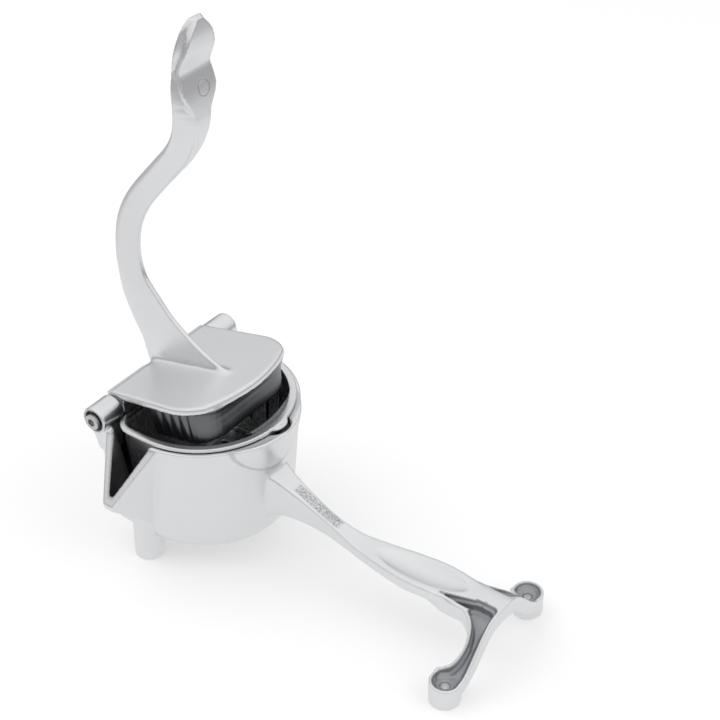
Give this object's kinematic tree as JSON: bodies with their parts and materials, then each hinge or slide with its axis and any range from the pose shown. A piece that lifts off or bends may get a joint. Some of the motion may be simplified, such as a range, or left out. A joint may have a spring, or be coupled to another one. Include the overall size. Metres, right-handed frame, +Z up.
{
  "type": "hand-lever fruit press",
  "caption": "Cast-aluminium hand-lever fruit press: spouted cup with a T-foot handle, lift-out strainer and a hinged press plate on a curved lever.",
  "frame": {"origin": "bottom centre of the whole object's box, on the surface that its four feet stand on, with the press plate at rest a little open", "axes": "+X from the hinge along the lower handle to the T-foot, +Y along the hinge away from the spout, +Z up"},
  "size_m": [0.2642, 0.1386, 0.3292],
  "materials": {
    "cast_body": "tumbled and polished casting",
    "cast_strainer": "polished rim, satin wall",
    "cast_lever": "polished casting",
    "screw_steel": "bright steel screw",
    "washer_steel": "plain steel washer"
  },
  "bodies": {
    "root": {"base_casting": "cast_body", "strainer_basket": "cast_strainer", "near_hinge_screw": "screw_steel", "far_hinge_screw": "screw_steel", "near_thrust_washer": "washer_steel", "far_thrust_washer": "washer_steel"},
    "lever": {"press_lever": "cast_lever"}
  },
  "joints": [
    {"name": "lever_hinge", "type": "hinge", "parent": "root", "child": "lever", "pos_m": [-0.10525, 0.00865, 0.0945], "axis": [0, -1, 0], "range_deg": [-42, 70]}
  ]
}
